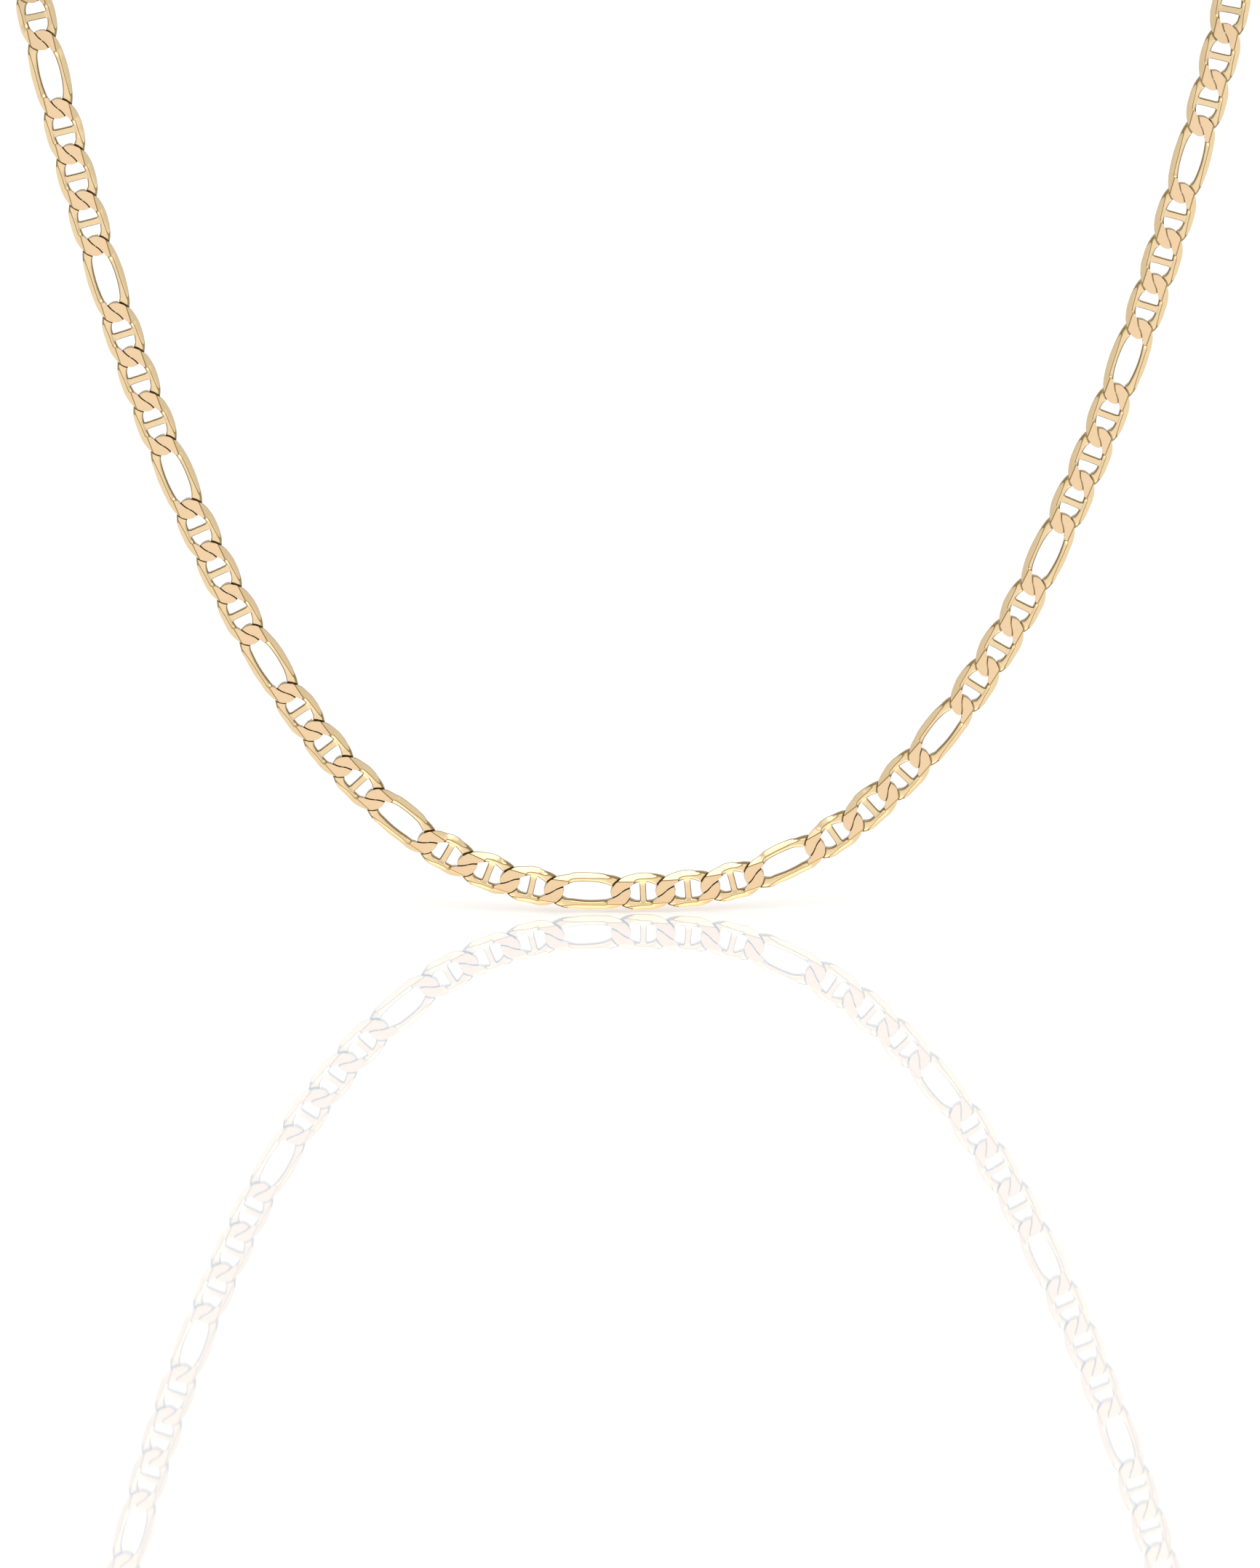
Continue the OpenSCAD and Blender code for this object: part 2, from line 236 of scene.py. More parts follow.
class Layout:
    """Where each piece lies: distances along the route, and the route as a curve.

    The route is a closed cubic Hermite curve through its points. The direction at a
    point is the mean of the two chords' slopes, each weighted by the other's length.
    """

    def __init__(self, links, findings):
        self.links, self.findings = links, findings
        after = np.roll(ROUTE, -1, 0) - ROUTE
        self.chord = np.linalg.norm(after, axis=1)[:, None]
        before_chord = np.roll(self.chord, 1, 0)
        before = np.roll(after, 1, 0)
        weighted = self.chord * before / before_chord + before_chord * after / self.chord
        self.heading = weighted / (before_chord + self.chord)
        self.u = np.arange(len(ROUTE) * ROUTE_STEPS + 1) / ROUTE_STEPS
        samples = self.curve(self.u)
        steps = np.linalg.norm(np.diff(samples, axis=0), axis=1)
        self.run = np.concatenate(([0], np.cumsum(steps)))
        self.space_out()

    def curve(self, u):
        """Points of the Hermite curve, where u counts the route's points."""
        i = np.floor(u).astype(int) % len(ROUTE)
        j = (i + 1) % len(ROUTE)
        f = (u - np.floor(u))[:, None]
        rise = 3 * f**2 - 2 * f**3
        leave, arrive = f**3 - 2 * f**2 + f, f**3 - f**2
        bend = leave * self.heading[i] + arrive * self.heading[j]
        return (1 - rise) * ROUTE[i] + rise * ROUTE[j] + self.chord[i] * bend

    def is_long(self, k):
        """Every fourth link is a long one, counted from the one beside the lowest point."""
        return k % PATTERN == 0

    def spacing(self, k):
        """A link's pitch, less the slack, which fades as a bell curve from the front."""
        slack = self.links.slack * np.exp(-(((k - 1) / SLACK_REACH) ** 2))
        return link_pitch(self.links, self.is_long(k)) - slack

    def space_out(self):
        """Adds up the pieces along the loop, from the clasp to the left and round. The
        corners of the clasp's thick rim keep it off the wire of the right ring, by the
        rise of the ring's round hole over the chord that the rim takes up."""
        links, parts = self.links, self.findings
        held = links.slot + parts.ring_wire / 2
        in_eye = seat(parts.ring_wire, parts.eye_wire, parts.gap)
        in_body = seat(parts.ring_wire, parts.clasp_rim, parts.gap)
        hole = parts.ring - 2 * parts.ring_wire
        crossed = parts.clasp_thickness / math.cos(parts.ring_turn)
        crossed += parts.ring_wire * math.tan(parts.ring_turn)
        corner = (hole - math.sqrt(hole**2 - crossed**2)) / 2
        room = parts.ring - parts.ring_wire - held
        self.clasp_left = parts.clasp_shift + parts.clasp_pitch / 2
        start = self.clasp_left + room - in_eye
        self.numbers = np.arange(-links.left_links, links.right_links)
        runs = np.cumsum(self.spacing(self.numbers))
        self.joints = start + np.concatenate(([0], runs))
        self.clasp_right = self.joints[-1] + room - in_body - corner
        self.loop = self.clasp_right + parts.clasp_pitch - self.clasp_left
        self.scale = self.loop / self.run[-1]
        self.left_ring_shift = (held - in_eye) / 2
        self.right_ring_shift = (in_body + corner - held) / 2
        self.link_places = self.place(self.joints[:-1], self.joints[1:])
        self.joint_places = self.place_joints()

    def at(self, distance):
        """Points of the route at distances along the chain, clear of the nape."""
        u = np.interp(np.mod(distance, self.loop) / self.scale, self.run, self.u)
        return self.scale * self.curve(u) + (0, self.findings.clasp_thickness / 2, 0)

    def outward(self, points):
        """Away from the body: forward at the front, out and up over the shoulders,
        backward at the nape."""
        neck_x, neck_y = ROUTE[:, 0].max(), -ROUTE[:, 1].min() / 2
        depth = points[:, 1] / self.scale + 2 * neck_y
        turned = ease(depth, 0, TURN_DEPTH)
        side = points[:, 0] / neck_x
        return np.stack((turned * side, depth / neck_y - 1, turned * side**2 * SHOULDER_LEAN), 1)

    def place(self, start, end):
        """Middles, axes and lengths of the pieces that lie between two distances along
        the chain."""
        a, b = self.at(np.atleast_1d(start)), self.at(np.atleast_1d(end))
        middle = (a + b) / 2
        return middle, axes(b - a, self.outward(middle)), np.linalg.norm(b - a, axis=1)

    def place_joints(self):
        """Places and axes of the joints, halfway between those of the links that meet."""
        rows = self.link_places[1]
        before, after = np.concatenate((rows[:1], rows)), np.concatenate((rows, rows[-1:]))
        halfway = before + after
        return self.at(self.joints), axes(halfway[:, 0], halfway[:, 2])


# Meshes from arrays

# Angle in degrees from which an edge is shaded as sharp, on a piece and on the clasp
SHARP_EDGE = 40
CLASP_SHARP_EDGE = 30


def shade(mesh, flat, sharp_degrees):
    """Smooth shading, but not on flat faces or over edges that turn by the angle."""
    smooth = ~(np.zeros(len(mesh.polygons), bool) | flat)
    mesh.polygons.foreach_set("use_smooth", smooth)
    mesh.set_sharp_from_angle(angle=math.radians(sharp_degrees))


def make_piece(name, points, faces, material=None, flat=False):
    """A mesh object at the origin, smooth but for its flat faces and sharp edges."""
    mesh = bpy.data.meshes.new(name)
    mesh.from_pydata(points, [], list(faces))
    shade(mesh, flat, SHARP_EDGE)
    if material:
        mesh.materials.append(material)
    mesh.update()
    piece = bpy.data.objects.new(name, mesh)
    bpy.context.scene.collection.objects.link(piece)
    return piece


def set_finish(piece, unshaded, cut):
    """Says of a piece's faces, one by one or all at once, how much of their gold is left unshaded,
    the rest being painted shade, and whether they are cut flat, both from 0 to 1."""
    for name, values in (("unshaded", unshaded), ("cut", cut)):
        attribute = piece.data.attributes.new(name, "FLOAT", "FACE")
        each = np.broadcast_to(values, len(piece.data.polygons)).astype(np.float32)
        attribute.data.foreach_set("value", each)


def grid_faces(rows, columns):
    """Quads of a grid of points that closes on itself along and across."""
    i, j = np.meshgrid(np.arange(rows), np.arange(columns), indexing="ij")
    i_next, j_next = (i + 1) % rows, (j + 1) % columns
    here, next_row = i * columns, i_next * columns
    return np.stack((here + j, here + j_next, next_row + j_next, next_row + j), -1)


# One link as a template, in millimetres, lying along X with its face to +Z

# Steps of the grid round each end of a link, across the bar, and round the wire
END_STEPS = 32
BAR_STEPS = 4
WIRE_SIDES = 24
# Steps of the wire's inner side that the bar covers, and steps along the bar
BAR_SIDES = 7
BAR_RINGS = 8
# How far the bar's flat front is widened and its edges lowered, as shares, and the share
# of its half width from which it is an edge
BAR_FLAT = 0.5
BAR_EDGE = 0.4
EDGE_FROM = 0.9

# The pressed wire's reach outward and inward from its line, by the distance from the
# joint towards the link's middle: distance, outward, inward, in millimetres
WIRE_HALVES = np.array([
    (0.0, 0.50, 1.00), (0.6, 0.52, 0.74), (1.0, 0.51, 0.54), (1.4, 0.49, 0.50), (2.4, 0.44, 0.50),
])
# How far the wire's line reaches past the joint, and how square the ends of a short and
# of a long link's oval are, where 1 is an ellipse and less is squarer
LINE_REACH = 0.60
SHORT_OVAL = 1.08
LONG_OVAL = 0.85
# Corners of the wire's section along the arms, and on its outer and its inner side at
# the link's ends: 1 is round, less is squarer
ARM_CORNERS = 0.5
END_CORNERS = 0.6
INNER_CORNERS = 0.12
# How far before the joint the corners start to change
CORNER_REACH = 2.2
# How far from the middle line the inner edge is drawn to the joint's middle and where it
# no longer is, and the share of its place across that it keeps there
DRAWN_IN = (0.35, 0.95)
DRAWN_SPREAD = 0.02
# Height of the uncut wire over the flat face
SPARE = 0.30
# How far from the middle line the post at a link's end reaches, and over what it fades
POST_EDGE = 0.60
POST_FADE = 0.10
# How far before the joint a plate starts, and how long the arm takes to rise into it
PLATE_FROM = 1.0
PLATE_FADE = 0.6
# How far an arm leans to the side of the plate that it goes into
ARM_LEAN = 0.06
# Steps in which the wire is measured, and how much a change of its height counts
FINE_STEPS = 1600
HEIGHT_COUNTS = 0.7
# A small angle or sine, and what keeps a division from being by nought
SMALL = 1e-4
TINY = 1e-12
# Tolerances in millimetres: of a cut, of a point on a plane, and of two points that are
# made one
CUT_TOLERANCE = 1e-6
ON_PLANE = 1e-4
MERGED = 0.002


def wire_line(half_len, half_width, oval, t):
    """The wire's line seen flat: x is half_len cos t, and y is half_width times sin t
    raised to the power oval, with its sign kept."""
    sine = np.maximum(np.abs(np.sin(t)), SMALL)
    return half_len * np.cos(t), half_width * np.sign(np.sin(t)) * sine**oval


class Pressed:
    """A link's wire, pressed flat: at each end it is a plate in front on one side, a
    plate behind on the other, and a post between them."""

    def __init__(self, sizes, is_long):
        self.joint = link_pitch(sizes, is_long) / 2 / MM
        self.half_len = self.joint + LINE_REACH
        self.oval = LONG_OVAL if is_long else SHORT_OVAL
        self.half_width = (sizes.width - sizes.arm) / 2 / MM
        self.arm_half = sizes.arm_thickness / 2 / MM
        self.top = sizes.thickness / 2 / MM + SPARE

    def heights(self, x, y):
        """Top and bottom of the wire before it is carved. It rises to the front or to the
        back where its plate is, and to both in the post at the end."""
        past = np.abs(x) - self.joint
        front = -np.sign(y) * np.sign(x)
        lean = front * ARM_LEAN * ease(np.abs(x), 0, self.joint - PLATE_FROM)
        rise = ease(past, -PLATE_FROM - PLATE_FADE, -PLATE_FROM)
        post = (past > 0) * (1 - ease(np.abs(y), POST_EDGE, POST_EDGE + POST_FADE))
        arm_top, arm_bottom = self.arm_half + lean, self.arm_half - lean
        top = arm_top + (self.top - arm_top) * np.maximum(rise * (front > 0), post)
        bottom = arm_bottom + (self.top - arm_bottom) * np.maximum(rise * (front < 0), post)
        return top, -bottom

    def line(self, t):
        """The wire's line at the angles t."""
        return wire_line(self.half_len, self.half_width, self.oval, t)

    def even_angles(self, start, end, steps):
        """Angles from start to end whose sections lie evenly along the wire."""
        t = np.linspace(start, end, FINE_STEPS + 1)
        x, y = self.line(t)
        track = np.stack((x, y, *self.heights(x, y)), 1)
        track[:, 2:] *= HEIGHT_COUNTS
        run = np.concatenate(([0], np.cumsum(np.linalg.norm(np.diff(track, axis=0), axis=1))))
        return np.interp(np.linspace(0, run[-1], steps + 1)[:-1], run, t)

    def sections(self, t):
        """Middles of the sections, their directions outward, and how far each reaches
        outward and inward."""
        x, y = self.line(t)
        before, after = (np.stack(self.line(t + step), 1) for step in (-SMALL, SMALL))
        heading = unit(after - before)
        out = np.stack((heading[:, 1], -heading[:, 0]), 1)
        before_joint = self.joint - np.abs(x)
        outward = np.interp(before_joint, WIRE_HALVES[:, 0], WIRE_HALVES[:, 1])
        inward = np.interp(before_joint, WIRE_HALVES[:, 0], WIRE_HALVES[:, 2])
        return np.stack((x, y), 1), out, outward, inward

    def ring(self, half_bar):
        """The grid of points, a row for each section. A section is a rounded rectangle
        from the outer to the inner edge: its place along and up is cos a and sin a, each
        raised to the power of its corners with its sign kept. At the link's end the inner
        edge is drawn to the joint's middle."""
        arm = math.asin(half_bar / self.half_len)
        bounds = [
            (-QUARTER_TURN + arm, QUARTER_TURN - arm, END_STEPS),
            (QUARTER_TURN - arm, QUARTER_TURN + arm, BAR_STEPS),
            (QUARTER_TURN + arm, 3 * QUARTER_TURN - arm, END_STEPS),
            (3 * QUARTER_TURN - arm, 3 * QUARTER_TURN + arm, BAR_STEPS),
        ]
        t = np.concatenate([self.even_angles(*b) for b in bounds])
        middle, out, outward, inward = self.sections(t)
        x, y = middle.T
        before_joint = self.joint - np.abs(x)
        outer = middle + outward[:, None] * out
        inner = middle - inward[:, None] * out
        at_joint = np.stack((np.sign(x) * self.joint, DRAWN_SPREAD * y), 1)
        drawn = ((before_joint < 0) * (1 - ease(np.abs(y), *DRAWN_IN)))[:, None]
        inner += (at_joint - inner) * drawn
        near = ease(-before_joint, -CORNER_REACH, 0)[:, None]
        a = ((np.arange(WIRE_SIDES) + 0.5) * FULL_TURN / WIRE_SIDES)[None, :]
        end_corners = np.where(np.cos(a) > 0, END_CORNERS, INNER_CORNERS)
        corners = ARM_CORNERS + (end_corners - ARM_CORNERS) * near
        along = np.sign(np.cos(a)) * np.abs(np.cos(a)) ** corners
        up = np.sign(np.sin(a)) * np.abs(np.sin(a)) ** corners
        flat = middle[:, None] + np.where(
            along[..., None] > 0,
            along[..., None] * (outer - middle)[:, None],
            -along[..., None] * (inner - middle)[:, None],
        )
        top, bottom = self.heights(x, y)
        height = ((top + bottom) / 2)[:, None] + ((top - bottom) / 2)[:, None] * up
        return np.concatenate((flat, height[..., None]), -1)


def rim(grid):
    """The points round the edge of a patch of a grid, one turn."""
    return np.concatenate((grid[0, :-1], grid[:-1, -1], grid[-1, :0:-1], grid[:0:-1, 0]))


def link_shell(sizes, is_long):
    """Points and quads of one uncut link. A short link's bar is a tube between the edges
    of two patches that are left out of the arms' inner sides, narrowed between the arms
    as one less the waist times 1 - v^4, where v goes from -1 to 1 along the bar. Its flat
    front and back are wider than the patches', and its edges lower."""
    ring = Pressed(sizes, is_long).ring(sizes.bar / 2 / MM)
    rows, half_turn = len(ring), len(ring) // 2
    points = ring.reshape(-1, 3)
    quads = grid_faces(rows, WIRE_SIDES)
    if is_long:
        return points, quads.reshape(-1, 4)
    first_side = (WIRE_SIDES - BAR_SIDES) // 2
    sides = np.arange(first_side, first_side + BAR_SIDES + 1)
    # The lower arm's patch lies half a turn on, with its rows in reverse
    upper_rows = np.arange(END_STEPS, half_turn + 1)
    lower_rows = (upper_rows[::-1] + half_turn) % rows
    kept = np.ones(quads.shape[:2], bool)
    for turn in (0, half_turn):
        kept[np.ix_(turn + upper_rows[:-1], sides[:-1])] = False
    upper = rim(upper_rows[:, None] * WIRE_SIDES + sides)
    lower = rim(lower_rows[:, None] * WIRE_SIDES + sides)
    v = np.linspace(-1, 1, BAR_RINGS + 1)[1:-1, None, None]
    between = (1 - v) / 2 * points[upper] + (1 + v) / 2 * points[lower]
    narrow = 1 - sizes.bar_waist * (1 - v**4)
    across = np.abs(between[..., :1]) / np.abs(between[..., :1]).max()
    at_edge = across > EDGE_FROM
    between[..., :1] *= narrow * np.where(at_edge, 1, 1 + BAR_FLAT)
    between[..., 2:] *= narrow * np.where(at_edge, 1 - BAR_EDGE, 1)
    inner = len(points) + np.arange((BAR_RINGS - 1) * len(upper)).reshape(BAR_RINGS - 1, -1)
    loops = np.concatenate((upper[None], inner, lower[None]))
    after = np.roll(loops, -1, 1)
    tube = np.stack((loops[:-1], loops[1:], after[1:], after[:-1]), -1)
    points = np.concatenate((points, between.reshape(-1, 3)))
    return points, np.concatenate((quads[kept], tube.reshape(-1, 4)))


def split(shell, point, normal, take_off=False):
    """Splits a shell along a plane, may take off what is beyond it, and returns the cut."""
    everything = shell.verts[:] + shell.edges[:] + shell.faces[:]
    result = bmesh.ops.bisect_plane(
        shell, geom=everything, plane_co=point, plane_no=normal, clear_outer=take_off,
        dist=CUT_TOLERANCE,
    )
    return result["geom_cut"]


def cut_flat(shell, point, normal):
    """Takes the metal off beyond a plane and closes the cut with flat faces."""
    cut = split(shell, point, normal, take_off=True)
    edges = [e for e in cut if isinstance(e, bmesh.types.BMEdge)]
    bmesh.ops.holes_fill(shell, edges=edges)


# How deep the edge between face and bevel is rubbed off, in millimetres
EDGE_RUB = 0.02


def cut_planes(sizes):
    """A point and the normal of each plane, and whether it only rubs off an edge: the
    face, the bevel on each side of it, and the edges between them."""
    face_edge, top = sizes.face / 2 / MM, sizes.thickness / 2 / MM
    for side in (1, -1):
        yield (0, 0, side * top), (0, 0, side), False
        for way in (1, -1):
            corner = np.array((0, way * face_edge, side * top))
            for tilt, rub in ((sizes.bevel, 0), (sizes.bevel / 2, EDGE_RUB)):
                normal = np.array((0, way * math.sin(tilt), side * math.cos(tilt)))
                yield corner - rub * normal, normal, rub > 0


# How far the room of a neighbour's plate reaches away from the link and out to every
# side, how much wider than the plate it is, and how much its walls at the seam lean
ROOM_AWAY = 2.6
ROOM_SPARE = 0.15
SEAM_LEAN = 0.02
# Angles round a link's end that the outline of the room follows, and their number
ROOM_TURN = (-0.6, 1.45)
ROOM_STEPS = 28
# The seam's slight S: how far it leaves a straight line, how far from the joint it is
# straight again, and its steps
SEAM_BEND = 0.06
SEAM_HALF = 0.85
SEAM_STEPS = 10


def seam_line(sizes, x):
    """The seam seen from the front: a straight line plus a sine that steepens it at the
    joint."""
    bend = SEAM_BEND * np.sin(math.pi * np.clip(x / SEAM_HALF, -1, 1))
    return math.tan(sizes.seam_angle) * x + bend


def room_outline(sizes):
    """Outline of the room that the neighbour's plate takes in front of a link's right
    end, seen from the joint, and how its points move as the seam widens. The
    neighbour's end, with some spare, bounds it towards the link's middle, and the seam
    below."""
    pressed = Pressed(sizes, False)
    middle, out, outward, _ = pressed.sections(np.linspace(*ROOM_TURN, ROOM_STEPS)[::-1])
    edge = middle + (outward + ROOM_SPARE)[:, None] * out
    edge = (edge - (pressed.joint, 0)) * (-1, 1)
    shift = sizes.seam / 2 / MM / math.cos(sizes.seam_angle)
    over = edge[:, 1] - seam_line(sizes, edge[:, 0]) + shift
    last = np.flatnonzero(over > 0)[-1]
    part = over[last] / (over[last] - over[last + 1])
    corner = edge[last] + part * (edge[last + 1] - edge[last])
    x = np.linspace(max(corner[0], -SEAM_HALF), SEAM_HALF, SEAM_STEPS + 1)[1:]
    seam = np.concatenate((corner[None], np.column_stack((x, seam_line(sizes, x) - shift))))
    away = [(ROOM_AWAY, seam_line(sizes, ROOM_AWAY) - shift), (ROOM_AWAY, ROOM_AWAY)]
    points = np.concatenate((away, edge[: last + 1], seam))
    moves = np.zeros_like(points)
    moves[0] = moves[-len(seam) :] = math.sin(sizes.seam_angle), -math.cos(sizes.seam_angle)
    return points, moves


def neighbour_room(sizes, joint, end, side):
    """The room that the neighbour's plate takes at one end of a link, on its front or
    its back: a prism whose walls at the seam lean, so that the seam widens outward.
    End and side are 1 or -1, and turn the outline to the link's other end and back."""
    outline, moves = room_outline(sizes)
    near, far = -sizes.end_gap / 2 / MM, ROOM_AWAY
    levels = []
    for z in (near, far):
        flat = (outline + moves * SEAM_LEAN * (z - near)) * (end, end * side) + (end * joint, 0)
        levels.append(np.column_stack((flat, np.full(len(flat), side * z))))
    count = len(outline)
    corners = np.arange(count)
    after = (corners + 1) % count
    walls = np.stack((corners, after, after + count, corners + count), 1)
    faces = [tuple(corners[::-1]), tuple(corners + count), *map(tuple, walls)]
    return np.concatenate(levels), faces


def carve(piece, sizes, joint):
    """Takes the rooms of the neighbours' plates out of a link, front and then back."""
    for side in (1, -1):
        rooms = [neighbour_room(sizes, joint, end, side) for end in (1, -1)]
        points = np.concatenate([room[0] for room in rooms])
        count = len(rooms[0][0])
        faces = rooms[0][1] + [tuple(i + count for i in face) for face in rooms[1][1]]
        room = make_piece("room", points, faces)
        apply_boolean(piece, room, "DIFFERENCE")


def apply_boolean(piece, other, operation):
    """Joins another closed shell to a piece, or takes it out, and removes the other."""
    change = piece.modifiers.new("change", "BOOLEAN")
    change.operation, change.solver, change.object = operation, "MANIFOLD", other
    graph = bpy.context.evaluated_depsgraph_get()
    changed = bpy.data.meshes.new_from_object(piece.evaluated_get(graph))
    piece.modifiers.clear()
    piece.data = changed
    bpy.data.objects.remove(other)


# How far a wire's surface faces front or back where its painted shade starts to lift and where it
# is gone, and the same for its height over the middle in millimetres
UNSHADED_FACING = (0.8, 0.98)
UNSHADED_HEIGHT = (0.08, 0.14)
# How much of the rubbed edges between face and bevel, and of the wire beside the bevels, is left
# unshaded under their dark painted shade line, and how deep under their planes that line reaches,
# in millimetres
EDGE_UNSHADED = 0.05
SHADE_DEPTH = 0.05


def bevel_planes(sizes):
    """A point and the normal of each bevel's plane."""
    return [
        (np.array(point), np.array(normal))
        for point, normal, is_edge in cut_planes(sizes) if normal[1] and not is_edge
    ]


def template_mesh(sizes, is_long):
    """Corners, in millimetres, and triangles of one link that is cut and carved. They are split
    where the painted shade line on the wire beside the bevels ends."""
    points, quads = link_shell(sizes, is_long)
    piece = make_piece("link_template", points, quads)
    shell = bmesh.new()
    shell.from_mesh(piece.data)
    for point, normal, _ in cut_planes(sizes):
        cut_flat(shell, point, normal)
    bmesh.ops.recalc_face_normals(shell, faces=shell.faces[:])
    shell.to_mesh(piece.data)
    shell.free()
    carve(piece, sizes, link_pitch(sizes, is_long) / 2 / MM)
    shell = bmesh.new()
    shell.from_mesh(piece.data)
    bmesh.ops.triangulate(shell, faces=shell.faces[:])
    for point, normal in bevel_planes(sizes):
        split(shell, point - SHADE_DEPTH * normal, normal)
    bmesh.ops.remove_doubles(shell, verts=shell.verts[:], dist=MERGED)
    bmesh.ops.triangulate(shell, faces=shell.faces[:])
    shell.verts.index_update()
    corners = np.array([v.co for v in shell.verts])
    triangles = np.array([[v.index for v in f.verts] for f in shell.faces])
    shell.free()
    bpy.data.objects.remove(piece)
    return corners, triangles


def template_finish(sizes, corners, triangles):
    """Which triangles of a link are flat, how much of each is left unshaded, the rest being
    painted shade, and which lie on the cut faces. Unshaded are the flat triangles and those that
    face front or back, but not the walls of the openings, the rubbed edges and the wire beside the
    bevels, which get painted shade."""
    flat, face, rubbed = np.zeros((3, len(triangles)), bool)
    for point, normal, is_edge in cut_planes(sizes):
        off = (corners - point) @ np.array(normal)
        on_plane = np.all(np.abs(off[triangles]) < ON_PLANE, axis=1)
        flat |= on_plane
        face |= on_plane & (normal[1] == 0)
        rubbed |= on_plane & is_edge
    first, second, third = (corners[triangles[:, i]] for i in range(3))
    normals = np.cross(second - first, third - first)
    facing = np.abs(normals[:, 2]) / np.maximum(np.linalg.norm(normals, axis=1), TINY)
    middles = corners[triangles].mean(1)
    # Painted shade: wire that faces sideways or lies near the middle height, such as the walls of
    # the openings and of the seams, gets the dark shade colour
    lit = ease(facing, *UNSHADED_FACING) * ease(np.abs(middles[:, 2]), *UNSHADED_HEIGHT)
    # A dark painted shade line along the wire beside each bevel
    for point, normal in bevel_planes(sizes):
        lit *= np.where(np.abs((middles - point) @ normal) < SHADE_DEPTH, EDGE_UNSHADED, 1)
    # The rubbed edges between face and bevel get the same dark painted shade line; the other flat
    # faces stay unshaded
    return flat, np.where(rubbed, EDGE_UNSHADED, np.where(flat, 1, lit)), face


# How far from a joint, in millimetres, a link follows the joint's direction, and over
# what length that fades
JOINT_REACH = 1.15
JOINT_FADE = 1.05


def place_links(layout, numbers, corners):
    """A link's corners at each numbered link's place. Its ends follow the directions of
    its joints, which lie halfway between the directions of the links that meet."""
    first = np.searchsorted(layout.numbers, numbers)
    pitch = link_pitch(layout.links, layout.is_long(numbers))[0]
    middle, rows, span = (part[first] for part in layout.link_places)
    origin, turned = layout.joint_places
    points = corners * MM
    half = pitch / 2
    stretch = np.ones((len(numbers), 1, 3))
    stretch[:, 0, 0] = span / pitch
    placed = middle[:, None] + (points * stretch) @ rows
    for end in (-1, 1):
        joint = first + (end > 0)
        at_joint = origin[joint][:, None] + (points - (end * half, 0, 0)) @ turned[joint]
        to_middle = half - end * points[:, 0]
        near = 1 - ease(to_middle, JOINT_REACH * MM, (JOINT_REACH + JOINT_FADE) * MM)
        placed += near[None, :, None] * (at_joint - placed)
    return placed.reshape(-1, 3)


def make_half(layout, name, node, numbers, material):
    """One half of the chain: its short and its long links in one mesh."""
    parts = []
    start = 0
    for is_long in (False, True):
        chosen = numbers[layout.is_long(numbers) == is_long]
        corners, triangles = template_mesh(layout.links, is_long)
        finish = template_finish(layout.links, corners, triangles)
        points = place_links(layout, chosen, corners)
        offsets = start + np.arange(len(chosen))[:, None, None] * len(corners)
        faces = (triangles + offsets).reshape(-1, 3)
        parts.append((points, faces, *(np.tile(mark, len(chosen)) for mark in finish)))
        start += len(points)
    points, faces, flat, unshaded, cut = (np.concatenate(column) for column in zip(*parts))
    half = make_piece(name, points, faces, material, flat)
    set_finish(half, unshaded, cut)
    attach(half, "root")
    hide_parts(node)


# Shader maths


class Socket:
    """A shader value: an expression on it adds the Math nodes that it needs."""

    def __init__(self, tree, link):
        self.tree, self.link = tree, link

    def math(self, operation, *values):
        """Adds a Math node on values and sockets."""
        return self.tree.node("ShaderNodeMath", {"operation": operation}, dict(enumerate(values)))

    def __add__(self, other):
        return self.math("ADD", self, other)

    def __sub__(self, other):
        return self.math("SUBTRACT", self, other)

    def __rsub__(self, other):
        return self.math("SUBTRACT", other, self)

    def __mul__(self, other):
        return self.math("MULTIPLY", self, other)

    def __abs__(self):
        return self.math("ABSOLUTE", self)

    __radd__ = __add__
    __rmul__ = __mul__


class Shader:
    """A node tree that is written with node(), which returns one of the node's outputs."""

    def __init__(self, owner):
        owner.use_nodes = True
        self.tree = owner.node_tree
        self.tree.nodes.clear()

    def node(self, kind, settings=None, inputs=None, output=0):
        """Adds a node with its settings, and gives its inputs their values or links."""
        made = self.tree.nodes.new(kind)
        for name, value in (settings or {}).items():
            setattr(made, name, value)
        for name, value in (inputs or {}).items():
            if isinstance(value, Socket):
                self.tree.links.new(value.link, made.inputs[name])
            else:
                made.inputs[name].default_value = value
        return Socket(self, made.outputs[output]) if made.outputs else made

    def mix(self, factor, first, second):
        """One colour over another: 6, 7 and 2 are the colour sockets of a Mix node."""
        sockets = {0: factor, 6: first, 7: second}
        return self.node("ShaderNodeMix", {"data_type": "RGBA"}, sockets, output=2)

    def blend(self, value, edges, low, high):
        """Goes smoothly from low to high while a value goes from one edge to the other."""
        return self.node("ShaderNodeMapRange", {"interpolation_type": "SMOOTHSTEP"}, {
            "Value": value, "From Min": edges[0], "From Max": edges[1], "To Min": low,
            "To Max": high,
        })


def opaque(color):
    """A colour with its alpha, one."""
    return (*color, 1)


# Detail and roughness of the pattern of polishing marks, how strongly they show in the
# surface, and how far apart they set its roughness
GRAIN_DETAIL = 3.0
GRAIN_ROUGHNESS = 0.6
GRAIN_STRENGTH = 0.25
GRAIN_SPREAD = 0.08


